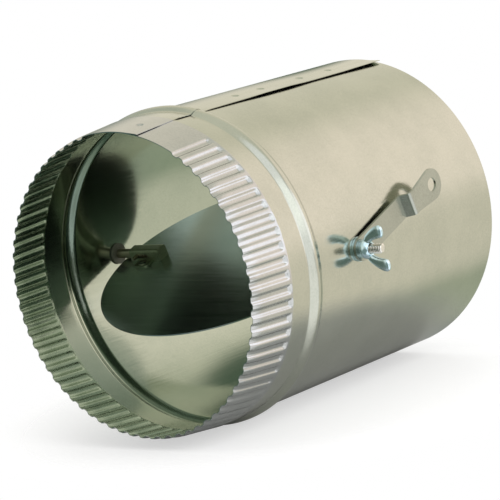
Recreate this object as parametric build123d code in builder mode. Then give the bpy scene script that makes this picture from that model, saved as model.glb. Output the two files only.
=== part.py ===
from build123d import *
import math
import os

os.makedirs("parts", exist_ok=True)

# Round in-line volume control damper, in millimetres.
# +Y runs along the duct from the crimped end to the plain end, +X along the blade's shaft
# towards the lever, and +Z is up. The origin is on the duct's axis at the foot of the stop
# bead, where the edge of the duct that slides over the crimped end comes to rest.

# Casing: one rolled sheet
casing_diameter = 203.2
sheet = 0.45
crimp_length = 35.0
spigot_band = 17.0
bead_width = 13.0
bead_height = 2.8
body_length = 206.0

# Flutes of the crimped end, left out beside the lap seam
crimp_taper = 3.3
flute_pitch = 9.12
flute_width = 5.8
flute_floor_width = 2.6
flute_depth = 1.5
flute_clear_before = 28.0
flute_clear_after = 18.4

# Lap seam along the top, clinched to the sheet beneath it by a row of buttons
seam_angle = 15.0
lap_rise_angle = 35.0
lap_length_angle = 33.0
crimp_button = 17.0
bead_button = 8.0
button_count = 4
button_inset = 6.7
button_after_bead = 48.0
button_before_end = 44.0
button_radius = 2.6
button_depth = 0.8

# Blade and the angle at which it and the lever stand from the duct's axis
shaft_from_bead = 54.0
blade_angle = 19.5
blade_clearance = 6.85
blade_sheet = 0.9
shaft_diameter = 6.35
seat_gap = 0.4

# Shaft brackets riveted to the blade
bracket_length = 25.3
bracket_edge_gap = 8.0
bracket_sheet = 0.9
ear_reach = 8.0
ear_length = 12.0
rivet_diameter = 3.2
rivet_head_diameter = 6.2
rivet_head_height = 1.1
stud_rivet_inset = 6.0
stud_rivet_head_diameter = 5.0

# Idle end: spring-loaded pin
pin_projection = 6.0
pin_travel = 9.0
pin_behind_mouth = 9.0
pin_nose_diameter = 3.6
pin_nose_length = 5.0
thumb_pin_diameter = 2.4
thumb_pin_reach = 4.0
thumb_pin_inset = 4.0
spring_wire = 0.6
spring_diameter = 5.9
spring_turns = 5

# Bushes in the casing's two holes
bush_diameter = 9.0
bush_flange_diameter = 14.0
bush_flange = 1.3
running_gap = 0.05
face_gap = 0.3

# Regulator end: threaded stud and what is stacked on it
tang_size = 7.0
collar_diameter = 12.0
collar_width = 1.6
stud_projection = 18.4
stud_flats = 5.2
stack_gap = 0.1
washer_diameter = 16.0
washer_thickness = 1.3
lock_washer_diameter = 11.6
lock_washer_thickness = 1.4
lock_washer_slit = 1.0

# Lever
lever_width = 15.6
lever_sheet = 1.6
lever_step_at = 52.0
lever_step_run = 3.0
lever_step_height = 6.5
lever_bend_radius = 1.6
lever_eye_at = 78.6
lever_eye_radius = 10.4
lever_eye_hole_diameter = 9.0
lever_neck_at = 60.0

# Wing nut
nut_angle = 8.4
nut_base_diameter = 12.8
nut_top_diameter = 10.6
nut_hub_height = 8.6
nut_height = 16.5
nut_span = 31.0
nut_wing_thickness = 3.0
nut_tip_radius = 4.2
nut_root_radius = 2.8
nut_wing_round = 1.0

# Derived places
radius = casing_diameter / 2
bore_radius = radius - sheet
crimp_y = -spigot_band
rim_y = crimp_y - crimp_length
rim_radius = radius - crimp_taper
crimp_slope = math.atan2(crimp_taper, crimp_length)
lap_shift = sheet / (1 - math.cos(math.radians(lap_rise_angle)))
shaft_y = shaft_from_bead
shaft_radius = shaft_diameter / 2
blade_radius = bore_radius - blade_clearance
blade_top = -(shaft_radius + seat_gap)
blade_bottom = blade_top - blade_sheet
bush_radius = bush_diameter / 2
bush_flange_radius = bush_flange_diameter / 2
bush_seat = math.sqrt(bore_radius**2 - bush_flange_radius**2) - running_gap
bracket_inner = tang_size / 2 + running_gap
bracket_outer = bracket_inner + bracket_sheet
bracket_mouth = blade_radius - bracket_edge_gap
bracket_tail = bracket_mouth - bracket_length
ear_middle = (bracket_mouth + bracket_tail) / 2
rivet_reach = bracket_outer + ear_reach / 2
pin_end = bracket_mouth - pin_behind_mouth
thumb_pin_x = pin_end + thumb_pin_inset
collar_face = bush_seat - bush_flange - face_gap
washer_x = radius + running_gap
lever_x = washer_x + washer_thickness + stack_gap
lock_washer_x = lever_x + lever_sheet + stack_gap
nut_x = lock_washer_x + lock_washer_thickness + stack_gap
stud_hole_radius = shaft_radius + running_gap


def across_shaft(x):
    """Plane square to the shaft at x, with its first axis along the duct."""
    return Plane(origin=(x, shaft_y, 0), x_dir=(0, 1, 0), z_dir=(1, 0, 0))


def turned_across_shaft(x, degrees):
    """The same plane with its first axis turned up from the duct's axis."""
    turn = math.radians(degrees)
    return Plane(origin=(x, shaft_y, 0), x_dir=(0, math.cos(turn), math.sin(turn)), z_dir=(1, 0, 0))


def along_blade(height):
    """Plane parallel to the blade at a height above the shaft's axis, on the side of the brackets."""
    turn = math.radians(blade_angle)
    normal = (0, -math.sin(turn), math.cos(turn))
    return Plane(origin=(0, shaft_y, 0), x_dir=(1, 0, 0), z_dir=normal).offset(height)


def skin_section(plane, low, high):
    """Section of a rolled skin between two heights over the casing's wall, on a plane through its axis."""
    with BuildSketch(plane) as section:
        with BuildLine():
            Polyline((0, radius + high), (crimp_y, radius + high), (rim_y, rim_radius + high))
            Line((rim_y, rim_radius + high), (rim_y, rim_radius + low))
            Polyline((rim_y, rim_radius + low), (crimp_y, radius + low), (0, radius + low))
            ThreePointArc(
                (0, radius + low),
                (bead_width / 2, radius + bead_height + low),
                (bead_width, radius + low),
            )
            Line((bead_width, radius + low), (body_length, radius + low))
            Line((body_length, radius + low), (body_length, radius + high))
            Line((body_length, radius + high), (bead_width, radius + high))
            ThreePointArc(
                (bead_width, radius + high),
                (bead_width / 2, radius + bead_height + high),
                (0, radius + high),
            )
        make_face()
    return section.sketch


def flute_pan(grow, top):
    """Solid of one pressed flute at the top of the crimp, grown by a skin's thickness, up to a height."""
    flare = (flute_width - flute_floor_width) / (2 * flute_depth)
    out = (0, -math.sin(crimp_slope), math.cos(crimp_slope))
    along = (0, -math.cos(crimp_slope), -math.sin(crimp_slope))
    crimp = Plane(origin=(0, crimp_y, radius), x_dir=along, z_dir=out)
    with BuildPart() as pan:
        for height in (-flute_depth - grow, top):
            widening = height * flare + grow * math.hypot(1, flare)
            width = flute_width + 2 * widening
            length = crimp_length + flute_width + widening
            with BuildSketch(crimp.offset(height)) as outline:
                with Locations((crimp_length + flute_width - length / 2, 0)):
                    Rectangle(length, width)
                chamfer(outline.vertices().group_by(Axis.X)[0], width / 4)
        loft(ruled=True)
    return pan.part


def ring(x, outer_radius, hole_radius, thickness):
    """Flat ring on the shaft, from x outwards."""
    with BuildPart() as washer:
        with BuildSketch(across_shaft(x)):
            Circle(outer_radius)
            Circle(hole_radius, mode=Mode.SUBTRACT)
        extrude(amount=thickness)
    return washer.part


# Casing
flute_step = math.degrees(flute_pitch / radius)
first_flute = seam_angle + flute_clear_after
last_flute = seam_angle - flute_clear_before + 360
flute_count = int((last_flute - first_flute) / flute_step) + 1
flute_angles = [first_flute + i * flute_step for i in range(flute_count)]

first_button = bead_width + button_after_bead
button_step = (body_length - button_before_end - first_button) / (button_count - 1)
body_buttons = [first_button + i * button_step for i in range(button_count)]
button_places = [rim_y + crimp_button, bead_button] + body_buttons


def through_axis(x, z, degrees):
    """Plane through an axis along the duct, with its second axis out at an angle from the top."""
    turn = math.radians(degrees)
    return Plane(origin=(x, 0, z), x_dir=(0, 1, 0), z_dir=(math.cos(turn), 0, -math.sin(turn)))


def on_casing(height, degrees):
    """Point of the casing's cross-section at a height over its wall, as (x, z)."""
    turn = math.radians(degrees)
    return ((radius + height) * math.sin(turn), (radius + height) * math.cos(turn))


def lap_height(degrees):
    """Height over the casing's wall of the lap's outer face, which climbs onto the sheet beneath it."""
    return sheet - lap_shift + lap_shift * math.cos(math.radians(degrees - seam_angle))


def button_plane(y):
    """Plane on the lap at a button, facing out."""
    turn = math.radians(seam_angle - button_inset)
    slope = crimp_slope if y < crimp_y else 0
    drop = max(crimp_y - y, 0) * math.tan(crimp_slope)
    height = lap_height(seam_angle - button_inset) - drop
    if 0 < y < bead_width:
        height += bead_height
    out = (math.sin(turn) * math.cos(slope), -math.sin(slope), math.cos(turn) * math.cos(slope))
    x, z = on_casing(height, seam_angle - button_inset)
    return Plane(origin=(x, y, z), z_dir=out)


with BuildPart() as flute_ribs:
    add([flute_pan(sheet, -sheet / 2).rotate(Axis.Y, a) for a in flute_angles])
    split(bisect_by=Plane.XZ.offset(-rim_y), keep=Keep.BOTTOM)

with BuildPart() as casing:
    add(skin_section(through_axis(0, 0, 0), -sheet, 0))
    revolve(axis=Axis.Y)
    # The lap is the same skin round a shifted axis, so it climbs onto itself without a step
    lap_x, lap_z = on_casing(lap_shift - radius, seam_angle)
    lap_start = through_axis(lap_x, lap_z, seam_angle - lap_length_angle)
    add(skin_section(lap_start, -lap_shift, sheet - lap_shift))
    revolve(axis=Axis((lap_x, 0, lap_z), (0, 1, 0)), revolution_arc=lap_length_angle)
    add(flute_ribs.part)
    add([flute_pan(0, sheet).rotate(Axis.Y, a) for a in flute_angles], mode=Mode.SUBTRACT)
    # Clinched buttons press both layers inwards
    with Locations([button_plane(y).offset(-sheet - button_depth / 2) for y in button_places]):
        Cone(button_radius + sheet / 2, button_radius + sheet, 2 * sheet + button_depth)
    with Locations([button_plane(y) for y in button_places]):
        Cone(button_radius - sheet, button_radius, 2 * button_depth, mode=Mode.SUBTRACT)
    with Locations(across_shaft(0)):
        Cylinder(bush_radius + running_gap, 3 * radius, mode=Mode.SUBTRACT)
casing.part.label = "casing"
export_step(casing.part, "parts/casing.step")


def flanged_bush(side):
    """Bush with its flange inside the casing, on the side of +X or -X."""
    with BuildPart() as bush:
        with BuildSketch(across_shaft(side * bush_seat)):
            Circle(bush_flange_radius)
            Circle(stud_hole_radius, mode=Mode.SUBTRACT)
        extrude(amount=-side * bush_flange)
        with BuildSketch(across_shaft(side * bush_seat)):
            Circle(bush_radius)
            Circle(stud_hole_radius, mode=Mode.SUBTRACT)
        extrude(amount=side * (radius - bush_seat - running_gap))
    return bush.part


regulator_bush = flanged_bush(1)
regulator_bush.label = "regulator_bush"
export_step(regulator_bush, "parts/regulator_bush.step")

idle_bush = flanged_bush(-1)
idle_bush.label = "idle_bush"
export_step(idle_bush, "parts/idle_bush.step")

# Blade
rivet_places = [(side * ear_middle, reach) for side in (1, -1) for reach in (rivet_reach, -rivet_reach)]

with BuildPart() as blade:
    with BuildSketch(along_blade(blade_bottom)):
        Circle(blade_radius)
        with Locations(rivet_places):
            Circle(rivet_diameter / 2, mode=Mode.SUBTRACT)
    extrude(amount=blade_sheet)
blade.part.label = "blade"
export_step(blade.part, "parts/blade.step")


def shaft_bracket(side):
    """Folded channel over one end of the shaft, with two riveted ears and both its ends turned in."""
    mouth = turned_across_shaft(side * bracket_mouth, blade_angle)
    middle = (bracket_outer + blade_top) / 2
    with BuildPart() as bracket:
        with BuildSketch(mouth) as outline:
            with Locations((0, middle)):
                Rectangle(2 * bracket_outer, bracket_outer - blade_top)
            fillet(outline.vertices().group_by(Axis.Y)[-1], 2 * bracket_sheet)
        extrude(amount=-side * bracket_length)
        with BuildSketch(mouth.offset(-side * bracket_sheet)) as hollow:
            with Locations((0, middle - bracket_sheet)):
                Rectangle(2 * bracket_inner, bracket_outer - blade_top)
            fillet(hollow.vertices().group_by(Axis.Y)[-1], bracket_sheet)
        extrude(amount=-side * (bracket_length - 2 * bracket_sheet), mode=Mode.SUBTRACT)
        with BuildSketch(mouth):
            Circle(stud_hole_radius)
        extrude(amount=-side * 2 * bracket_sheet, mode=Mode.SUBTRACT)
        with BuildSketch(along_blade(blade_top)):
            with Locations((side * ear_middle, 0)):
                RectangleRounded(ear_length, 2 * (bracket_outer + ear_reach), ear_length / 4)
                Rectangle(2 * ear_length, 2 * bracket_inner, mode=Mode.SUBTRACT)
            with Locations([place for place in rivet_places if place[0] * side > 0]):
                Circle(rivet_diameter / 2, mode=Mode.SUBTRACT)
        extrude(amount=bracket_sheet)
    return bracket.part


# The four rivets through both brackets' ears and the blade
blade_normal = Axis((0, shaft_y, 0), along_blade(0).z_dir)
head_base = blade_top + bracket_sheet
with BuildPart() as blade_rivets:
    with BuildSketch(along_blade(head_base)):
        with Locations(rivet_places):
            Circle(rivet_head_diameter / 2)
    extrude(amount=rivet_head_height)
    with BuildSketch(along_blade(blade_bottom)):
        with Locations(rivet_places):
            Circle(rivet_head_diameter / 2)
    extrude(amount=-rivet_head_height)
    head_edges = blade_rivets.edges().group_by(blade_normal)
    chamfer(head_edges[0], rivet_head_height / 2, rivet_head_height)
    chamfer(head_edges[-1], rivet_head_height / 2, rivet_head_height)
    with BuildSketch(along_blade(blade_bottom)):
        with Locations(rivet_places):
            Circle(rivet_diameter / 2)
    extrude(amount=head_base - blade_bottom)
blade_rivets.part.label = "blade_rivets"
export_step(blade_rivets.part, "parts/blade_rivets.step")

# Idle end
across_bracket = Plane(origin=(0, shaft_y, 0), x_dir=(1, 0, 0), z_dir=along_blade(0).y_dir)

with BuildPart() as idle_bracket:
    add(shaft_bracket(-1))
    with BuildSketch(across_bracket):
        with Locations((pin_travel / 2 - thumb_pin_x, 0)):
            SlotOverall(pin_travel + thumb_pin_diameter + 2 * face_gap, thumb_pin_diameter + 2 * face_gap)
    extrude(amount=bracket_outer + face_gap, both=True, mode=Mode.SUBTRACT)
idle_bracket.part.label = "idle_bracket"
export_step(idle_bracket.part, "parts/idle_bracket.step")

with BuildPart() as idle_pin:
    with BuildSketch(across_shaft(-pin_end)):
        Circle(shaft_radius)
    extrude(amount=-(radius + pin_projection - pin_end))
    chamfer(idle_pin.edges().group_by(Axis.X)[0], shaft_radius / 4)
    with BuildSketch(across_shaft(-pin_end)):
        Circle(pin_nose_diameter / 2)
    extrude(amount=pin_nose_length)
    with BuildSketch(across_bracket):
        with Locations((-thumb_pin_x, 0)):
            Circle(thumb_pin_diameter / 2)
    extrude(amount=shaft_diameter, both=True, mode=Mode.SUBTRACT)
idle_pin.part.label = "idle_pin"
export_step(idle_pin.part, "parts/idle_pin.step")

with BuildPart() as thumb_pin:
    with BuildSketch(across_bracket):
        with Locations((-thumb_pin_x, 0)):
            Circle(thumb_pin_diameter / 2)
    extrude(amount=bracket_outer + thumb_pin_reach, both=True)
thumb_pin.part.label = "thumb_pin"
export_step(thumb_pin.part, "parts/thumb_pin.step")

spring_start = -pin_end + spring_wire / 2 + running_gap
spring_end = -bracket_tail - bracket_sheet - spring_wire / 2 - running_gap
with BuildPart() as idle_spring:
    with BuildLine() as coil:
        Helix(
            pitch=(spring_end - spring_start) / spring_turns,
            height=spring_end - spring_start,
            radius=(spring_diameter - spring_wire) / 2,
            center=(spring_start, shaft_y, 0),
            direction=(1, 0, 0),
        )
    with BuildSketch(Plane(origin=coil.line @ 0, z_dir=coil.line % 0)):
        RegularPolygon(radius=spring_wire / 2, side_count=4)
    sweep(path=coil.line, is_frenet=True)
idle_spring.part.label = "idle_spring"
export_step(idle_spring.part, "parts/idle_spring.step")

# Regulator end
stud_rivet_x = bracket_mouth - stud_rivet_inset

with BuildPart() as regulator_bracket:
    add(shaft_bracket(1))
    with BuildSketch(across_bracket):
        with Locations((stud_rivet_x, 0)):
            Circle(rivet_diameter / 2)
    extrude(amount=bracket_outer + face_gap, both=True, mode=Mode.SUBTRACT)
regulator_bracket.part.label = "regulator_bracket"
export_step(regulator_bracket.part, "parts/regulator_bracket.step")

with BuildPart() as regulator_stud:
    with BuildSketch(turned_across_shaft(bracket_tail + 2 * bracket_sheet, blade_angle)):
        RectangleRounded(tang_size, tang_size, bracket_sheet)
    extrude(amount=bracket_length - 3 * bracket_sheet - face_gap)
    with BuildSketch(across_shaft(bracket_mouth - bracket_sheet - face_gap)):
        Circle(shaft_radius)
    extrude(amount=radius + stud_projection - bracket_mouth + bracket_sheet + face_gap)
    chamfer(regulator_stud.edges().group_by(Axis.X)[-1], shaft_radius / 5)
    with BuildSketch(turned_across_shaft(lever_x, blade_angle)):
        with GridLocations(0, stud_flats + shaft_diameter, 1, 2):
            Rectangle(2 * shaft_diameter, shaft_diameter)
    extrude(amount=2 * stud_projection, mode=Mode.SUBTRACT)
    with BuildSketch(across_shaft(collar_face - collar_width)):
        Circle(collar_diameter / 2)
    extrude(amount=collar_width)
    with BuildSketch(across_bracket):
        with Locations((stud_rivet_x, 0)):
            Circle(rivet_diameter / 2)
    extrude(amount=tang_size, both=True, mode=Mode.SUBTRACT)
regulator_stud.part.label = "regulator_stud"
export_step(regulator_stud.part, "parts/regulator_stud.step")

with BuildPart() as stud_rivet:
    for facing in (1, -1):
        with BuildSketch(across_bracket.offset(facing * bracket_outer)):
            with Locations((stud_rivet_x, 0)):
                Circle(stud_rivet_head_diameter / 2)
        extrude(amount=facing * rivet_head_height)
    with BuildSketch(across_bracket):
        with Locations((stud_rivet_x, 0)):
            Circle(rivet_diameter / 2)
    extrude(amount=bracket_outer, both=True)
stud_rivet.part.label = "stud_rivet"
export_step(stud_rivet.part, "parts/stud_rivet.step")

flat_washer = ring(washer_x, washer_diameter / 2, stud_hole_radius, washer_thickness)
flat_washer.label = "flat_washer"
export_step(flat_washer, "parts/flat_washer.step")

with BuildPart() as lock_washer:
    add(ring(lock_washer_x, lock_washer_diameter / 2, stud_hole_radius, lock_washer_thickness))
    with BuildSketch(across_shaft(lock_washer_x)):
        with Locations((0, -lock_washer_diameter / 2)):
            Rectangle(lock_washer_slit, lock_washer_diameter)
    extrude(amount=lock_washer_thickness, mode=Mode.SUBTRACT)
lock_washer.part.label = "lock_washer"
export_step(lock_washer.part, "parts/lock_washer.step")

# Lever: one strip, stepped out from the casing to an eye for the fingers or a pull rod
lever_side = Plane(
    origin=(lever_x, shaft_y, 0), x_dir=along_blade(0).y_dir, z_dir=-along_blade(0).z_dir
)
with BuildPart() as lever:
    with BuildSketch(lever_side):
        with BuildLine() as strip:
            FilletPolyline(
                (-lever_width, 0),
                (lever_step_at, 0),
                (lever_step_at + lever_step_run, lever_step_height),
                (lever_eye_at + 2 * lever_eye_radius, lever_step_height),
                radius=lever_bend_radius,
            )
            offset(amount=lever_sheet, side=Side.LEFT)
        make_face()
    extrude(amount=2 * lever_eye_radius, both=True)
    with BuildSketch(turned_across_shaft(lever_x, blade_angle)) as paddle:
        with Locations((lever_eye_at, 0)):
            Circle(lever_eye_radius)
        with Locations((lever_neck_at, 0)):
            Rectangle(lever_sheet, lever_width)
        make_hull()
        Circle(lever_width / 2)
        with Locations((lever_neck_at / 2, 0)):
            Rectangle(lever_neck_at, lever_width)
        with Locations((lever_eye_at, 0)):
            Circle(lever_eye_hole_diameter / 2, mode=Mode.SUBTRACT)
    extrude(amount=lever_step_height + lever_sheet, mode=Mode.INTERSECT)
    with BuildSketch(turned_across_shaft(lever_x, blade_angle)):
        Circle(stud_hole_radius)
        Rectangle(2 * shaft_diameter, stud_flats + 2 * running_gap, mode=Mode.INTERSECT)
    extrude(amount=lever_sheet, mode=Mode.SUBTRACT)
lever.part.label = "lever"
export_step(lever.part, "parts/lever.step")

# Wing nut
nut_turn = math.radians(nut_angle)
wing_direction = (0, -math.sin(nut_turn), math.cos(nut_turn))
wing_normal = (0, math.cos(nut_turn), math.sin(nut_turn))
wing_plane = Plane(origin=(nut_x, shaft_y, 0), x_dir=wing_direction, z_dir=wing_normal)

with BuildPart() as wing_nut:
    with BuildSketch(wing_plane):
        with Locations((nut_span / 2 - nut_tip_radius, nut_height - nut_tip_radius)):
            Circle(nut_tip_radius)
        with Locations((nut_base_diameter / 2 - nut_root_radius / 2, nut_root_radius + face_gap)):
            Circle(nut_root_radius)
        make_hull()
    extrude(amount=nut_wing_thickness / 2, both=True)
    flats = wing_nut.faces().filter_by(lambda f: abs(f.normal_at().dot(Vector(wing_normal))) > 0.99)
    chamfer(flats.edges(), nut_wing_round)
    mirror(about=Plane(origin=(nut_x, shaft_y, 0), z_dir=wing_direction))
    with BuildSketch(across_shaft(nut_x)):
        Circle(nut_base_diameter / 2)
    with BuildSketch(across_shaft(nut_x + nut_hub_height)):
        Circle(nut_top_diameter / 2)
    loft()
    with BuildSketch(across_shaft(nut_x)):
        Circle(stud_hole_radius)
    extrude(amount=nut_height, mode=Mode.SUBTRACT)
wing_nut.part.label = "wing_nut"
export_step(wing_nut.part, "parts/wing_nut.step")
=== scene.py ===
import math
import random

import bmesh
import bpy
from mathutils import Matrix, Vector


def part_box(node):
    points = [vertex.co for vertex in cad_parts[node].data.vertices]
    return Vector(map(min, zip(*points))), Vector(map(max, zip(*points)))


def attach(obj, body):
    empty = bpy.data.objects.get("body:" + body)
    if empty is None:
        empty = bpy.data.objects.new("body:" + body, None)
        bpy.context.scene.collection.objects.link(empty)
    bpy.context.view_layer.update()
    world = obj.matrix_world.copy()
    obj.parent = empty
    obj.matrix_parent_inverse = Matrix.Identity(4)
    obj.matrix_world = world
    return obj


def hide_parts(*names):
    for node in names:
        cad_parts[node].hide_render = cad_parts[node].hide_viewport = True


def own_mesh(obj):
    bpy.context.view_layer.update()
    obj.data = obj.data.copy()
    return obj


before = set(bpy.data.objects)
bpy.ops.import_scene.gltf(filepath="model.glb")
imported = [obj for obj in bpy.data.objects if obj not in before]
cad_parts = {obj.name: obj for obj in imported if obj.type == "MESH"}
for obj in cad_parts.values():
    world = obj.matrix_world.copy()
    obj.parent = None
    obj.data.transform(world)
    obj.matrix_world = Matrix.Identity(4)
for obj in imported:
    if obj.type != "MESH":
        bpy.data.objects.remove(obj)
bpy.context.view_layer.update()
bpy.context.scene.view_settings.view_transform = "Standard"

# +Y runs along the duct, +X along the shaft to the lever. The camera and the studio are in metres
CAMERA_AT = Vector((1.10588, -1.27307, 0.27376))
CAMERA_LOOKS_AT = Vector((0.02645, 0.03855, 0.00381))
CAMERA_ROLL = -8.47
CAMERA_LENS = 193.23

# What the metal shows: a dim room, and soft screens laid over it one after the other, as
# (direction, cosines of the angles where the screen's edge starts and ends, colour)
ROOM = (0.25, 0.29, 0.25)
STUDIO = (
    ((-0.10, -0.72, 0.68), 0.55, 0.85, (0.92, 0.90, 0.80)),
    ((-0.55, 0.10, 0.83), 0.60, 0.86, (0.66, 0.68, 0.60)),
    ((-0.92, 0.20, -0.10), 0.83, 0.95, (0.55, 0.58, 0.52)),
    ((-0.64, -0.66, -0.36), 0.78, 0.93, (0.12, 0.19, 0.165)),
    ((-0.10, 0.84, 0.54), 0.66, 0.84, (0.94, 0.88, 0.74)),
    ((0.60, 0.76, 0.26), 0.66, 0.95, (1.34, 1.18, 1.07)),
    ((0.20, 0.70, -0.69), 0.74, 0.93, (0.52, 0.56, 0.44)),
    ((0.50, 0.82, -0.30), 0.90, 0.99, (0.98, 0.91, 0.79)),
    ((0.15, 0.05, 0.98), 0.72, 0.90, (0.85, 0.84, 0.74)),
    ((0.60, -0.22, 0.77), 0.86, 0.95, (1.25, 1.25, 1.30)),
    ((0.95, -0.12, 0.27), 0.80, 0.94, (1.25, 1.25, 1.30)),
    ((0.80, 0.05, -0.60), 0.80, 0.93, (1.30, 1.28, 1.30)),
    ((0.86, 0.44, 0.28), 0.93, 0.975, (1.70, 1.65, 1.75)),
    ((0.87, -0.13, 0.47), 0.93, 0.985, (1.70, 1.70, 1.75)),
)
# Plain light on everything else, and the white behind the part
SOFT_LIGHT = (0.58, 0.58, 0.57)
BACKDROP = (1.0, 1.0, 1.0)
# Dim card past the far end: its middle, and where its edge starts and ends to fade
CARD_AT = (-0.115, 0.300, 0.070)
CARD_FADE = (0.030, 0.078)
CARD_TONE = (0.07, 0.12, 0.08)
CARD_SIDES = 64
# Pale floor, a disc that fades into the backdrop
FLOOR_AT = (0.0, 0.077, -0.1052)
FLOOR_FADE = (0.12, 0.21)
FLOOR_TONE = 0.50
FLOOR_GLOW = 0.55
FLOOR_ROUGHNESS = 0.9
FLOOR_SIDES = 128
LAMPS_AIM = Vector((0.0, 0.05, 0.0))

# Sheet casing, in millimetres and degrees from the top
MM = 0.001
RADIUS = 101.6
SHEET = 0.45
RIM_Y = -52.0
CRIMP_Y = -17.0
END_Y = 206.0
CRIMP_TAPER = 3.3
# The rim curls in, but for a stretch each side of the seam
RIM_CURL = 0.8
RIM_CURL_LENGTH = 9.0
RIM_CURL_FROM = 22.0
RIM_CURL_RUN = 16.0
BEAD_WIDTH = 13.0
BEAD_HEIGHT = 2.8
BEAD_FOOT = 1.25
SHAFT_Y = 54.0
BUSH_HOLE_RADIUS = 4.55
BUSH_HOLE_SIDES = 64
# How far inward a face looks to count as the inside, which takes darker, greener copies of the
# sheet's finishes: painted shade
INNER_FACE = -0.3
SHARP_ANGLE = 60.0

FIRST_FLUTE = 33.4
FLUTE_STEP = 5.1431
FLUTE_COUNT = 62
FLUTE_HALF_WIDTH = 3.25
FLUTE_FLANK = 2.0
FLUTE_DEPTH = 1.45
FLUTE_END_RUN = 3.2
FLUTES_TO = CRIMP_Y + 1.0
COLUMNS_PER_FLUTE = 12

SEAM = 15.0
LAP_FROM = -10.5
LIP_FROM = 9.6
LIP_BEND = 1.5
BUTTON_ANGLE = 8.3
BUTTONS = (-35.2, 7.6, 60.8, 87.6, 130.1, 162.1)
BUTTON_RADIUS = 3.0
BUTTON_DEPTH = 1.05
BUTTON_SLOPE = 0.6
# Reach of the closer rows and columns round each button
BUTTON_ROWS = 3.6
BUTTON_COLUMNS = 2.0
BUTTON_STEPS = 16
# Height by which the lap's free edge stands off, along the duct
LIP_LIFT = (
    (-52.0, 0.45), (-34.0, 0.30), (-25.0, 0.05), (-16.0, 0.05), (-12.0, 0.50), (0.0, 0.45),
    (5.0, 0.05), (14.0, 0.05), (22.0, 0.45), (50.0, 0.70), (80.0, 1.25), (104.0, 1.30),
    (128.0, 0.75), (160.0, 0.90), (184.0, 1.35), (200.0, 1.60), (206.0, 1.40),
)

# Stud, pin and wing nut, in millimetres
BLADE_ANGLE = 19.5
STUD_RADIUS = 3.175
STUD_FLATS = 5.2
STUD_SIDES = 64
STUD_TIP = 0.35
TANG_END = 85.0
TANG_HALF = 3.5
TANG_CORNER = 4.4
COLLAR_FROM = 97.6
COLLAR_TO = 99.2
COLLAR_RADIUS = 6.0
LEVER_FROM = 103.05
THREAD_FROM = 101.8
THREAD_TO_TIP = 0.5
THREAD_PITCH = 1.27
THREAD_STEPS = 12
THREAD_DEPTH = 0.78
# Share of the pitch that the groove takes, and how deep in it the painted shade starts
THREAD_GROOVE = 0.8
GROOVE_BELOW = 0.35
SHARP_THREAD = 50.0
NUT_ANGLE = 8.4
NUT_VOXEL = 0.32
NUT_SOFTEN = 7
HUB_SIDES = 56
WING_SIDES = 24
WING_ROUNDING = 0.8
# Hub outline as (distance along the stud, radius)
NUT_HUB = (
    (0.0, 3.35), (0.0, 5.9), (0.35, 6.35), (1.4, 6.4), (2.6, 6.0),
    (3.8, 5.2), (4.7, 4.3), (5.0, 3.9), (5.0, 3.35),
)
# Wing sections as (reach from the stud, distance along it, width, thickness)
NUT_WING = (
    (4.8, 2.5, 4.2, 4.6), (5.2, 2.8, 4.6, 4.6), (7.2, 4.7, 5.6, 4.3), (8.9, 7.4, 6.6, 4.2),
    (10.2, 10.2, 7.7, 4.3), (11.0, 12.6, 8.4, 4.5), (11.4, 14.6, 8.0, 4.3),
    (11.5, 15.8, 5.8, 3.2), (11.5, 16.3, 2.8, 1.6),
)

# Metal's tone and grain, from noise whose values lie mostly in a span
CLOUD_SCALE = 28.0
SPECKLE_SCALE = 850.0
SPECKLE_SHARE = 0.7
DARKEST_AT = 0.62
GRAIN_SCALE = 900.0
GRAIN_STRETCH = 40.0
NOISE_SPAN = (0.3, 0.7)
MOTTLE_SCALE = 400.0
BUMP_STRENGTH = 0.1
BUMP_HEIGHT = 0.0002

# Each flute differs a little in depth, end and place
draw = random.Random(8)
flute_depths = [FLUTE_DEPTH * draw.uniform(0.88, 1.03) for k in range(FLUTE_COUNT)]
flute_ends = [CRIMP_Y - 0.3 + draw.uniform(-0.9, 0.5) for k in range(FLUTE_COUNT)]
flute_shifts = [draw.uniform(-0.25, 0.25) for k in range(FLUTE_COUNT)]


def smooth(value):
    """Smooth step of a value held between 0 and 1."""
    value = min(max(value, 0.0), 1.0)
    return value * value * (3.0 - 2.0 * value)


def flute(degrees, y):
    """Depth of the crimp's flutes at a point of the casing."""
    if y > FLUTES_TO:
        return 0.0
    k = round((degrees - FIRST_FLUTE) / FLUTE_STEP)
    if not 0 <= k < FLUTE_COUNT:
        return 0.0
    aside = math.radians(degrees - FIRST_FLUTE - k * FLUTE_STEP) * RADIUS - flute_shifts[k]
    across = smooth((FLUTE_HALF_WIDTH - abs(aside)) / FLUTE_FLANK)
    return flute_depths[k] * across * smooth((flute_ends[k] - y) / FLUTE_END_RUN)


def button(degrees, y):
    """Depth of the clinched buttons at a point of the lap."""
    aside = math.radians(degrees - BUTTON_ANGLE) * RADIUS
    if abs(aside) > BUTTON_RADIUS:
        return 0.0
    away = min(math.hypot(aside, y - at) for at in BUTTONS)
    return BUTTON_DEPTH * smooth((BUTTON_RADIUS - away) / (BUTTON_SLOPE * BUTTON_RADIUS))


def wall(degrees, y):
    """Outer radius of the rolled sheet."""
    r = RADIUS - max(CRIMP_Y - y, 0.0) * CRIMP_TAPER / (CRIMP_Y - RIM_Y)
    from_seam = min((degrees - SEAM) % 360.0, (SEAM - degrees) % 360.0)
    curled = smooth((from_seam - RIM_CURL_FROM) / RIM_CURL_RUN)
    r -= RIM_CURL * curled * max(1.0 - (y - RIM_Y) / RIM_CURL_LENGTH, 0.0) ** 2
    if 0.0 < y < BEAD_WIDTH:
        r += BEAD_HEIGHT * math.sin(math.pi * y / BEAD_WIDTH) ** BEAD_FOOT
    return r - flute(degrees % 360.0, y) - button((degrees + 180.0) % 360.0 - 180.0, y)


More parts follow.
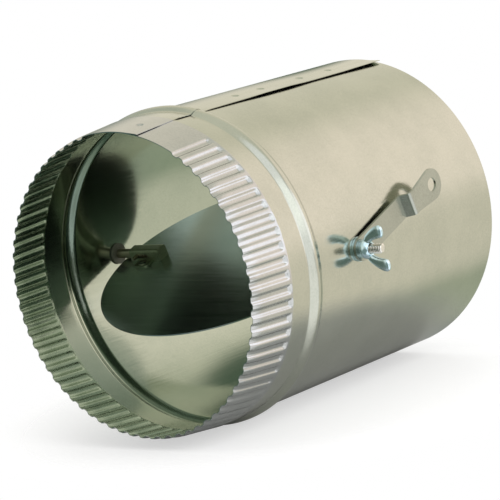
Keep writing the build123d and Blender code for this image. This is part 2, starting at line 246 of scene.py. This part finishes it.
def lip(y):
    """How far the lap's free edge stands off at a place along the duct."""
    for (y0, lift0), (y1, lift1) in zip(LIP_LIFT, LIP_LIFT[1:]):
        if y <= y1:
            return lift0 + (lift1 - lift0) * smooth((y - y0) / (y1 - y0))
    return LIP_LIFT[-1][1]


def lap(degrees, y):
    """Outer radius of the lap's upper layer, which climbs onto the sheet and ends lifted."""
    climb = SHEET * smooth((degrees - LAP_FROM) / (SEAM - LAP_FROM))
    lifted = lip(y) * max(degrees - LIP_FROM, 0.0) ** LIP_BEND / (SEAM - LIP_FROM) ** LIP_BEND
    return wall(degrees, y) + climb + lifted


def sheet_points(surface, degrees, y):
    """Points of a sheet's outer and inner face, square to the outer face."""
    step = 0.05
    r = surface(degrees, y)
    turn = math.radians(degrees)
    out = Vector((math.sin(turn), 0.0, math.cos(turn)))
    around = Vector((math.cos(turn), 0.0, -math.sin(turn)))
    along = (surface(degrees, y + step) - surface(degrees, y - step)) / (2.0 * step)
    span = math.radians(2.0 * step) * r
    sideways = (surface(degrees + step, y) - surface(degrees - step, y)) / span
    normal = (out - Vector((0.0, along, 0.0)) - around * sideways).normalized()
    outer = out * r + Vector((0.0, y, 0.0))
    inner = outer - normal * SHEET
    inner.y = min(max(inner.y, RIM_Y), END_Y)
    return outer * MM, inner * MM


def spaced(start, end, count):
    """Evenly spaced values with both ends."""
    return [start + (end - start) * i / count for i in range(count + 1)]


def merged(*groups):
    """Sorted values of several groups, without repeats."""
    return sorted({round(value, 4) for group in groups for value in group})


def sheet_mesh(name, surface, columns, closed):
    """Sheet with thickness, from columns of (angle, rows). Neighbours may differ in rows."""
    points = []
    faces = []
    ids = []
    for degrees, rows in columns:
        column = {}
        for y in rows:
            column[y] = (len(points), len(points) + 1)
            points.extend(sheet_points(surface, degrees, y))
        ids.append(column)
    pairs = list(zip(range(len(columns)), range(1, len(columns))))
    if closed:
        pairs.append((len(columns) - 1, 0))
    for a, b in pairs:
        rows_a, rows_b = columns[a][1], columns[b][1]
        coarse = rows_a if len(rows_a) < len(rows_b) else rows_b
        for y0, y1 in zip(coarse, coarse[1:]):
            left = [y for y in rows_a if y0 <= y <= y1]
            right = [y for y in rows_b if y0 <= y <= y1]
            for side in (0, 1):
                face = [ids[a][y][side] for y in left] + [ids[b][y][side] for y in reversed(right)]
                faces.append(face if side else face[::-1])
        for y, order in ((rows_a[0], 1), (rows_a[-1], -1)):
            faces.append([ids[a][y][0], ids[a][y][1], ids[b][y][1], ids[b][y][0]][::order])
    if not closed:
        for column, order in ((0, -1), (len(columns) - 1, 1)):
            rows = columns[column][1]
            for y0, y1 in zip(rows, rows[1:]):
                low, high = ids[column][y0], ids[column][y1]
                faces.append([low[0], high[0], high[1], low[1]][::order])
    mesh = bpy.data.meshes.new(name)
    mesh.from_pydata([tuple(point) for point in points], [], faces)
    mesh.validate()
    return mesh


def add_object(name, mesh, material, sharp=SHARP_ANGLE):
    """Object from a mesh, smooth but for edges sharper than an angle."""
    mesh.materials.clear()
    mesh.materials.append(material)
    mesh.shade_smooth()
    mesh.set_sharp_from_angle(angle=math.radians(sharp))
    made = bpy.data.objects.new(name, mesh)
    bpy.context.collection.objects.link(made)
    return made


def shaped_mesh(made):
    """Mesh of an object with its modifiers applied. The modifiers are taken off the object."""
    bpy.context.view_layer.update()
    shaped = made.evaluated_get(bpy.context.evaluated_depsgraph_get())
    mesh = bpy.data.meshes.new_from_object(shaped)
    made.modifiers.clear()
    return mesh


def make_casing(finishes_and_painted_shade):
    """Rolled, crimped and beaded sheet with its lap, in place of the plain solid."""
    # Rows of points along the duct, closer where the sheet bends
    flute_rows = merged(spaced(-21.5, FLUTES_TO, 11), spaced(RIM_Y, -23.0, 10), [RIM_Y + 0.6])
    bead_rows = merged(spaced(-0.6, BEAD_WIDTH + 0.6, 22))
    plain_rows = [-11.0, -4.0, 20.0, SHAFT_Y - 8, SHAFT_Y + 8]
    coarse = merged(flute_rows, bead_rows, plain_rows, spaced(78.0, END_Y, 9))
    button_rows = [spaced(at - BUTTON_ROWS, at + BUTTON_ROWS, BUTTON_STEPS) for at in BUTTONS]
    fine = merged(coarse, *button_rows, [y for y, lift in LIP_LIFT])
    # Columns round the duct, from the seam by way of the flutes to the end under the lap
    button_from, button_to = BUTTON_ANGLE - BUTTON_COLUMNS, BUTTON_ANGLE + BUTTON_COLUMNS
    button_angles = spaced(button_from, button_to, BUTTON_STEPS)
    step = FLUTE_STEP / COLUMNS_PER_FLUTE
    first = FIRST_FLUTE - FLUTE_STEP / 2
    flute_angles = [first + i * step for i in range(FLUTE_COUNT * COLUMNS_PER_FLUTE + 1)]
    ring = [(SEAM, fine)] + [(a, coarse) for a in spaced(SEAM, first, 16)[1:-1] + flute_angles]
    under = merged(spaced(LAP_FROM, SEAM, 20)[:-1], button_angles)
    ring += [(a + 360.0, fine) for a in under]
    mesh = sheet_mesh("casing_sheet", wall, ring, True)
    body = add_object("casing_sheet", mesh, finishes_and_painted_shade[0])

    bpy.ops.mesh.primitive_cylinder_add(
        vertices=BUSH_HOLE_SIDES, radius=BUSH_HOLE_RADIUS * MM, depth=3.0 * RADIUS * MM,
        location=(0.0, SHAFT_Y * MM, 0.0), rotation=(0.0, math.pi / 2.0, 0.0))
    cutter = bpy.context.object
    cut = body.modifiers.new("bush_holes", "BOOLEAN")
    cut.operation = "DIFFERENCE"
    cut.solver = "MANIFOLD"
    cut.object = cutter
    holed = shaped_mesh(body)
    bpy.data.objects.remove(cutter)

    lap_angles = merged(spaced(LAP_FROM, LIP_FROM, 12), button_angles, spaced(LIP_FROM, SEAM, 8))
    over = [(a, fine) for a in lap_angles]
    joined = bmesh.new()
    joined.from_mesh(holed)
    joined.from_mesh(sheet_mesh("casing_lap", lap, over, False))
    joined.to_mesh(holed)
    joined.free()
    body.data = holed
    holed.materials.clear()
    for finish in finishes_and_painted_shade:
        holed.materials.append(finish)
    # Inward faces take the darker, greener inside copies of the finishes: painted shade inside the
    # duct
    for face in holed.polygons:
        out = Vector((face.center.x, 0.0, face.center.z)).normalized()
        inner = face.normal.dot(out) < INNER_FACE
        crimped = face.center.y < CRIMP_Y * MM
        face.material_index = inner + 2 * crimped
    holed.shade_smooth()
    holed.set_sharp_from_angle(angle=math.radians(SHARP_ANGLE))
    holed.name = "casing_sheet"
    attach(body, "casing")
    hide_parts("casing")


def add_camera():
    """Camera at the photograph's viewing angle, found from the two rims, the bead and the seam."""
    data = bpy.data.cameras.new("camera")
    data.lens = CAMERA_LENS
    data.sensor_width = 36.0
    data.clip_end = 20.0
    camera = bpy.data.objects.new("camera", data)
    bpy.context.collection.objects.link(camera)
    turn = (CAMERA_LOOKS_AT - CAMERA_AT).to_track_quat("-Z", "Y").to_matrix().to_4x4()
    roll = Matrix.Rotation(math.radians(CAMERA_ROLL), 4, "Z")
    camera.matrix_world = Matrix.Translation(CAMERA_AT) @ turn @ roll
    bpy.context.scene.camera = camera


def new_material(name):
    """Empty node material with its output, its shader and the object's own coordinates."""
    material = bpy.data.materials.new(name)
    material.use_nodes = True
    tree = material.node_tree
    tree.nodes.clear()
    output = tree.nodes.new("ShaderNodeOutputMaterial")
    shader = tree.nodes.new("ShaderNodeBsdfPrincipled")
    tree.links.new(shader.outputs["BSDF"], output.inputs["Surface"])
    place = tree.nodes.new("ShaderNodeTexCoord")
    return material, tree, shader, place.outputs["Object"]


def stretched(tree, vector, scale):
    """Coordinates scaled along each axis."""
    mapping = tree.nodes.new("ShaderNodeMapping")
    mapping.inputs["Scale"].default_value = scale
    tree.links.new(vector, mapping.inputs["Vector"])
    return mapping.outputs["Vector"]


def noise(tree, vector, scale, detail, roughness):
    """Noise value over the given coordinates."""
    node = tree.nodes.new("ShaderNodeTexNoise")
    node.inputs["Scale"].default_value = scale
    node.inputs["Detail"].default_value = detail
    node.inputs["Roughness"].default_value = roughness
    tree.links.new(vector, node.inputs["Vector"])
    return node.outputs["Fac"]


def spread(tree, value, low, high):
    """A 0 to 1 value spread from low to high."""
    node = tree.nodes.new("ShaderNodeMapRange")
    node.inputs["From Min"].default_value = NOISE_SPAN[0]
    node.inputs["From Max"].default_value = NOISE_SPAN[1]
    node.inputs["To Min"].default_value = low
    node.inputs["To Max"].default_value = high
    tree.links.new(value, node.inputs["Value"])
    return node.outputs["Result"]


def ramp(tree, value, stops):
    """Colour ramp over a value, from (position, colour) stops."""
    node = tree.nodes.new("ShaderNodeValToRGB")
    elements = node.color_ramp.elements
    while len(elements) < len(stops):
        elements.new(0.5)
    for element, (position, colour) in zip(elements, stops):
        element.position = position
        element.color = (*colour, 1.0)
    tree.links.new(value, node.inputs["Fac"])
    return node.outputs["Color"]


def bump(tree, shader, height):
    """Faint bump from a height value on the shader's normal."""
    node = tree.nodes.new("ShaderNodeBump")
    node.inputs["Strength"].default_value = BUMP_STRENGTH
    node.inputs["Distance"].default_value = BUMP_HEIGHT
    tree.links.new(height, node.inputs["Height"])
    tree.links.new(node.outputs["Normal"], shader.inputs["Normal"])


def sheet_metal(name, dark, light, rough_low, rough_high, grain_along, grain_scale=GRAIN_SCALE):
    """Galvanised or plated steel: cloudy, speckled tone and a fine grain along one axis."""
    material, tree, shader, place = new_material(name)
    cloud = noise(tree, place, CLOUD_SCALE, 4.0, 0.6)
    speckle = noise(tree, place, SPECKLE_SCALE, 2.0, 0.6)
    mottled = tree.nodes.new("ShaderNodeMath")
    mottled.operation = "MULTIPLY_ADD"
    mottled.inputs[1].default_value = SPECKLE_SHARE
    tree.links.new(speckle, mottled.inputs[0])
    tree.links.new(cloud, mottled.inputs[2])
    tone = ramp(tree, mottled.outputs["Value"], [(DARKEST_AT, dark), (1.0, light)])
    tree.links.new(tone, shader.inputs["Base Color"])
    scale = [grain_scale] * 3
    scale["XYZ".index(grain_along)] = grain_scale / GRAIN_STRETCH
    grain = noise(tree, stretched(tree, place, scale), 1.0, 2.0, 0.5)
    tree.links.new(spread(tree, grain, rough_low, rough_high), shader.inputs["Roughness"])
    shader.inputs["Metallic"].default_value = 1.0
    bump(tree, shader, grain)
    return material


def plastic(name, dark, light):
    """Moulded plastic with a faint mottle."""
    material, tree, shader, place = new_material(name)
    mottle = noise(tree, place, MOTTLE_SCALE, 3.0, 0.5)
    tone = ramp(tree, mottle, [(NOISE_SPAN[0], dark), (NOISE_SPAN[1], light)])
    tree.links.new(tone, shader.inputs["Base Color"])
    tree.links.new(spread(tree, mottle, 0.4, 0.55), shader.inputs["Roughness"])
    bump(tree, shader, mottle)
    return material


def dress(material, *nodes):
    """Gives solids that keep their own mesh a material."""
    for node in nodes:
        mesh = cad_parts[node].data
        mesh.materials.clear()
        mesh.materials.append(material)


def make_stud(finish, groove):
    """Stud with its thread, flats, collar and square tang, in place of the plain solid."""
    turn = math.radians(BLADE_ANGLE)
    along = Vector((0.0, math.cos(turn), math.sin(turn)))
    up = Vector((0.0, -math.sin(turn), math.cos(turn)))
    low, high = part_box("regulator_stud")
    end = high[0] / MM
    rows = [
        (low[0] / MM, "tang"), (TANG_END, "tang"), (TANG_END, "rod"), (COLLAR_FROM, "rod"),
        (COLLAR_FROM, "collar"), (COLLAR_TO, "collar"), (COLLAR_TO, "rod"), (THREAD_FROM, "rod"),
    ]
    step = THREAD_PITCH / THREAD_STEPS
    steps = int((end - THREAD_TO_TIP - THREAD_FROM) / step)
    rows += [(THREAD_FROM + step * (i + 1), "thread") for i in range(steps)]
    rows += [(end - STUD_TIP, "tip"), (end, "tip")]
    count = STUD_SIDES
    points = []
    faces = []
    finishes_and_painted_shade = []
    for row, (x, kind) in enumerate(rows):
        for i in range(count):
            crest = 1.0
            angle = 2.0 * math.pi * i / count
            c, s = math.cos(angle), math.sin(angle)
            if kind == "tang":
                r = min(TANG_HALF / max(abs(c), abs(s)), TANG_CORNER)
            elif kind == "collar":
                r = COLLAR_RADIUS
            elif kind == "rod":
                r = STUD_RADIUS
            elif kind == "thread":
                phase = (x / THREAD_PITCH - angle / (2.0 * math.pi)) % 1.0
                crest = smooth(min(abs(phase - 0.5) * 2.0 / THREAD_GROOVE, 1.0))
                fade = smooth((x - THREAD_FROM) / THREAD_PITCH)
                r = STUD_RADIUS - THREAD_DEPTH * (1.0 - crest) * fade
            else:
                r = STUD_RADIUS - (THREAD_DEPTH if x == end else STUD_TIP)
            if x >= LEVER_FROM:
                r = min(r, STUD_FLATS / 2.0 / max(abs(s), 0.001))
            point = Vector((x, SHAFT_Y, 0.0)) + along * (r * c) + up * (r * s)
            points.append(tuple(point * MM))
            if row:
                a, b = (row - 1) * count + i, (row - 1) * count + (i + 1) % count
                faces.append([a, b, b + count, a + count])
                # Faces deep in the groove take the near-black material: painted shade in the
                # thread's recess
                finishes_and_painted_shade.append(int(crest < GROOVE_BELOW))
    faces.append(list(range(count))[::-1])
    faces.append(list(range(len(points) - count, len(points))))
    finishes_and_painted_shade += [0, 0]
    mesh = bpy.data.meshes.new("threaded_stud")
    mesh.from_pydata(points, [], faces)
    stud = add_object("threaded_stud", mesh, finish, SHARP_THREAD)
    stud.data.materials.append(groove)
    stud.data.polygons.foreach_set("material_index", finishes_and_painted_shade)
    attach(stud, "blade")
    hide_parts("regulator_stud")


def make_spring(material):
    """Spring, which on the real damper closes up as the pin is drawn back; here it keeps the plain
    solid's shape, in place of the plain solid.
    """
    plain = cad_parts["idle_spring"]
    mesh = plain.data.copy()
    mesh.transform(plain.matrix_world)
    spring = add_object("pin_spring", mesh, material)
    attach(spring, "blade")
    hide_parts("idle_spring")
    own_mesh(spring)


def skinned(bm, a, b):
    """Joins two rings of as many points with a band of faces."""
    for i in range(len(a)):
        j = (i + 1) % len(a)
        bm.faces.new((a[i], a[j], b[j], b[i]))


def lathe(bm, outline, x0):
    """Closed body of revolution round the shaft's own line from (x, radius) pairs."""
    rings = []
    for x, r in outline:
        ring = []
        for i in range(HUB_SIDES):
            angle = 2.0 * math.pi * i / HUB_SIDES
            y = SHAFT_Y + r * math.cos(angle)
            ring.append(bm.verts.new(((x0 + x) * MM, y * MM, r * math.sin(angle) * MM)))
        rings.append(ring)
    for a, b in zip(rings, rings[1:] + rings[:1]):
        skinned(bm, a, b)


def make_wing_nut(material):
    """Forged wing nut with its wings blended into the hub, in place of the plain solid."""
    low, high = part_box("wing_nut")
    x0 = low[0] / MM
    turn = math.radians(NUT_ANGLE)
    wing = Vector((0.0, -math.sin(turn), math.cos(turn)))
    side = Vector((0.0, math.cos(turn), math.sin(turn)))
    bm = bmesh.new()
    lathe(bm, NUT_HUB, x0)
    for facing in (1.0, -1.0):
        rings = []
        for k, (reach, x, width, thickness) in enumerate(NUT_WING):
            centre = Vector((x0 + x, SHAFT_Y, 0.0)) + wing * (facing * reach)
            before, after = NUT_WING[max(k - 1, 0)], NUT_WING[min(k + 1, len(NUT_WING) - 1)]
            outward = wing * (facing * (after[0] - before[0]))
            path = Vector((after[1] - before[1], 0.0, 0.0)) + outward
            lean = side.cross(path).normalized()
            ring = []
            for i in range(WING_SIDES):
                angle = 2.0 * math.pi * i / WING_SIDES
                c, s = math.cos(angle), math.sin(angle)
                across = math.copysign(abs(c) ** WING_ROUNDING, c) * width / 2.0
                thick = math.copysign(abs(s) ** WING_ROUNDING, s) * thickness / 2.0
                ring.append(bm.verts.new(tuple((centre + lean * across + side * thick) * MM)))
            rings.append(ring)
        for a, b in zip(rings, rings[1:]):
            skinned(bm, a, b)
        bm.faces.new(rings[0])
        bm.faces.new(rings[-1])
    bmesh.ops.recalc_face_normals(bm, faces=bm.faces)
    mesh = bpy.data.meshes.new("wing_nut_forged")
    bm.to_mesh(mesh)
    bm.free()
    nut = add_object("wing_nut_forged", mesh, material)
    # One skin over the hub and both wings, then softened like a forging
    remesh = nut.modifiers.new("blend", "REMESH")
    remesh.mode = "VOXEL"
    remesh.voxel_size = NUT_VOXEL * MM
    soften = nut.modifiers.new("soften", "SMOOTH")
    soften.factor = 0.5
    soften.iterations = NUT_SOFTEN
    shaped = shaped_mesh(nut)
    nut.data = shaped
    shaped.materials.clear()
    shaped.materials.append(material)
    shaped.shade_smooth()
    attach(nut, "wing_nut")
    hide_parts("wing_nut")


def faded(tree, place, reach):
    """One at the middle of a disc, and zero past its outer reach."""
    away = tree.nodes.new("ShaderNodeVectorMath")
    away.operation = "LENGTH"
    tree.links.new(place, away.inputs[0])
    fade = tree.nodes.new("ShaderNodeMapRange")
    fade.interpolation_type = "SMOOTHSTEP"
    fade.inputs["From Min"].default_value = reach[0]
    fade.inputs["From Max"].default_value = reach[1]
    fade.inputs["To Min"].default_value = 1.0
    fade.inputs["To Max"].default_value = 0.0
    tree.links.new(away.outputs["Value"], fade.inputs["Value"])
    return fade.outputs["Result"]


def add_floor():
    """Pale floor that keeps the part's shadow and fades into the backdrop."""
    bpy.ops.mesh.primitive_circle_add(
        vertices=FLOOR_SIDES, radius=FLOOR_FADE[1], fill_type="NGON", location=FLOOR_AT)
    floor = bpy.context.object
    floor.name = "floor"
    material, tree, shader, place = new_material("floor_white")
    shader.inputs["Base Color"].default_value = (FLOOR_TONE, FLOOR_TONE, FLOOR_TONE, 1.0)
    shader.inputs["Roughness"].default_value = FLOOR_ROUGHNESS
    shader.inputs["Emission Color"].default_value = (1.0, 1.0, 1.0, 1.0)
    seen = tree.nodes.new("ShaderNodeLightPath")
    glow = tree.nodes.new("ShaderNodeMath")
    glow.operation = "MULTIPLY"
    glow.inputs[1].default_value = FLOOR_GLOW
    tree.links.new(seen.outputs["Is Camera Ray"], glow.inputs[0])
    tree.links.new(glow.outputs["Value"], shader.inputs["Emission Strength"])
    tree.links.new(faded(tree, place, FLOOR_FADE), shader.inputs["Alpha"])
    floor.data.materials.append(material)


def add_card():
    """Dim card past the far end, which only the metal sees."""
    bpy.ops.mesh.primitive_circle_add(
        vertices=CARD_SIDES, radius=CARD_FADE[1], fill_type="NGON",
        location=CARD_AT, rotation=(math.pi / 2.0, 0.0, 0.0))
    flag = bpy.context.object
    flag.name = "dim_card"
    material, tree, shader, place = new_material("dim_card")
    shader.inputs["Base Color"].default_value = (0.0, 0.0, 0.0, 1.0)
    shader.inputs["Emission Color"].default_value = (*CARD_TONE, 1.0)
    shader.inputs["Emission Strength"].default_value = 1.0
    tree.links.new(faded(tree, place, CARD_FADE), shader.inputs["Alpha"])
    flag.data.materials.append(material)
    flag.visible_camera = False
    flag.visible_diffuse = False
    flag.visible_shadow = False


def add_mix(tree, factor, colour, tone):
    """Colour mixed with a plain tone by a factor. The first colour may be a plain tone as well."""
    mix = tree.nodes.new("ShaderNodeMix")
    mix.data_type = "RGBA"
    tree.links.new(factor, mix.inputs["Factor"])
    if isinstance(colour, tuple):
        mix.inputs["A"].default_value = (*colour, 1.0)
    else:
        tree.links.new(colour, mix.inputs["A"])
    mix.inputs["B"].default_value = (*tone, 1.0)
    return mix.outputs["Result"]


def add_world():
    """Studio that metal shows, with plain soft light for the rest and a white background."""
    world = bpy.data.worlds.new("studio")
    bpy.context.scene.world = world
    world.use_nodes = True
    tree = world.node_tree
    tree.nodes.clear()
    output = tree.nodes.new("ShaderNodeOutputWorld")
    place = tree.nodes.new("ShaderNodeTexCoord")
    colour = ROOM
    for direction, low, high, tone in STUDIO:
        dot = tree.nodes.new("ShaderNodeVectorMath")
        dot.operation = "DOT_PRODUCT"
        dot.inputs[1].default_value = Vector(direction).normalized()
        tree.links.new(place.outputs["Generated"], dot.inputs[0])
        edge = tree.nodes.new("ShaderNodeMapRange")
        edge.interpolation_type = "SMOOTHSTEP"
        edge.inputs["From Min"].default_value = low
        edge.inputs["From Max"].default_value = high
        tree.links.new(dot.outputs["Value"], edge.inputs["Value"])
        colour = add_mix(tree, edge.outputs["Result"], colour, tone)
    path = tree.nodes.new("ShaderNodeLightPath")
    colour = add_mix(tree, path.outputs["Is Diffuse Ray"], colour, SOFT_LIGHT)
    colour = add_mix(tree, path.outputs["Is Camera Ray"], colour, BACKDROP)
    background = tree.nodes.new("ShaderNodeBackground")
    tree.links.new(colour, background.inputs["Color"])
    tree.links.new(background.outputs["Background"], output.inputs["Surface"])


def add_lamp(name, at, size, energy):
    """Soft square lamp aimed at the part, which metal doesn't show."""
    data = bpy.data.lights.new(name, "AREA")
    data.size = size
    data.energy = energy
    lamp = bpy.data.objects.new(name, data)
    bpy.context.collection.objects.link(lamp)
    lamp.visible_glossy = False
    lamp.location = at
    lamp.rotation_euler = (LAMPS_AIM - Vector(at)).to_track_quat("-Z", "Y").to_euler()


add_camera()
add_floor()
add_card()
add_world()
add_lamp("key", (1.35, -0.20, 0.72), 0.95, 14.0)
add_lamp("top", (-0.3, 0.3, 1.5), 1.2, 4.0)

# Finishes as (name, dark tone, light tone, least and most roughness, axis of the grain, its scale)
galvanised = sheet_metal("galvanised", (0.46, 0.485, 0.415), (0.52, 0.54, 0.465), 0.12, 0.18, "Y")
# Darker, greener copy of the galvanised sheet for its inside faces: painted shade inside the duct
galvanised_inside_painted_shade = sheet_metal(
    "galvanised_inside_painted_shade", (0.37, 0.43, 0.35), (0.42, 0.475, 0.39), 0.12, 0.18, "Y")
crimped = sheet_metal("crimped", (0.46, 0.48, 0.465), (0.53, 0.545, 0.53), 0.10, 0.20, "Y")
# Much darker, greener copy of the crimped sheet for its inside faces: painted shade inside the duct
crimped_inside_painted_shade = sheet_metal(
    "crimped_inside_painted_shade", (0.21, 0.29, 0.21), (0.27, 0.35, 0.26), 0.20, 0.32, "Y")
blade_metal = sheet_metal("blade_metal", (0.38, 0.46, 0.45), (0.45, 0.52, 0.51), 0.18, 0.25, "X")
bracket_metal = sheet_metal("bracket_metal", (0.22, 0.27, 0.17), (0.33, 0.38, 0.25), 0.35, 0.5, "X")
rod_metal = sheet_metal("rod_metal", (0.32, 0.31, 0.22), (0.42, 0.40, 0.29), 0.3, 0.45, "X")
zinc = sheet_metal("zinc", (0.50, 0.70, 0.78), (0.66, 0.82, 0.88), 0.07, 0.15, "X", 600.0)
stud_crest = sheet_metal(
    "stud_crest", (0.62, 0.62, 0.56), (0.72, 0.72, 0.66), 0.12, 0.20, "X", 600.0)
# Near-black copy of the stud's metal for the thread's grooves: painted shade
stud_groove_painted_shade = sheet_metal(
    "stud_groove_painted_shade", (0.12, 0.12, 0.09), (0.18, 0.17, 0.13), 0.30, 0.40, "X", 600.0)
lever_metal = sheet_metal("lever_metal", (0.36, 0.385, 0.335), (0.43, 0.455, 0.40), 0.16, 0.26, "X")
nylon = plastic("nylon", (0.13, 0.14, 0.10), (0.17, 0.18, 0.13))

make_casing([galvanised, galvanised_inside_painted_shade, crimped, crimped_inside_painted_shade])
make_stud(stud_crest, stud_groove_painted_shade)
make_wing_nut(zinc)
make_spring(rod_metal)
dress(blade_metal, "blade")
dress(bracket_metal, "idle_bracket", "regulator_bracket")
dress(rod_metal, "idle_pin", "thumb_pin")
dress(zinc, "flat_washer", "lock_washer")
dress(lever_metal, "lever", "stud_rivet", "blade_rivets")
dress(nylon, "idle_bush", "regulator_bush")
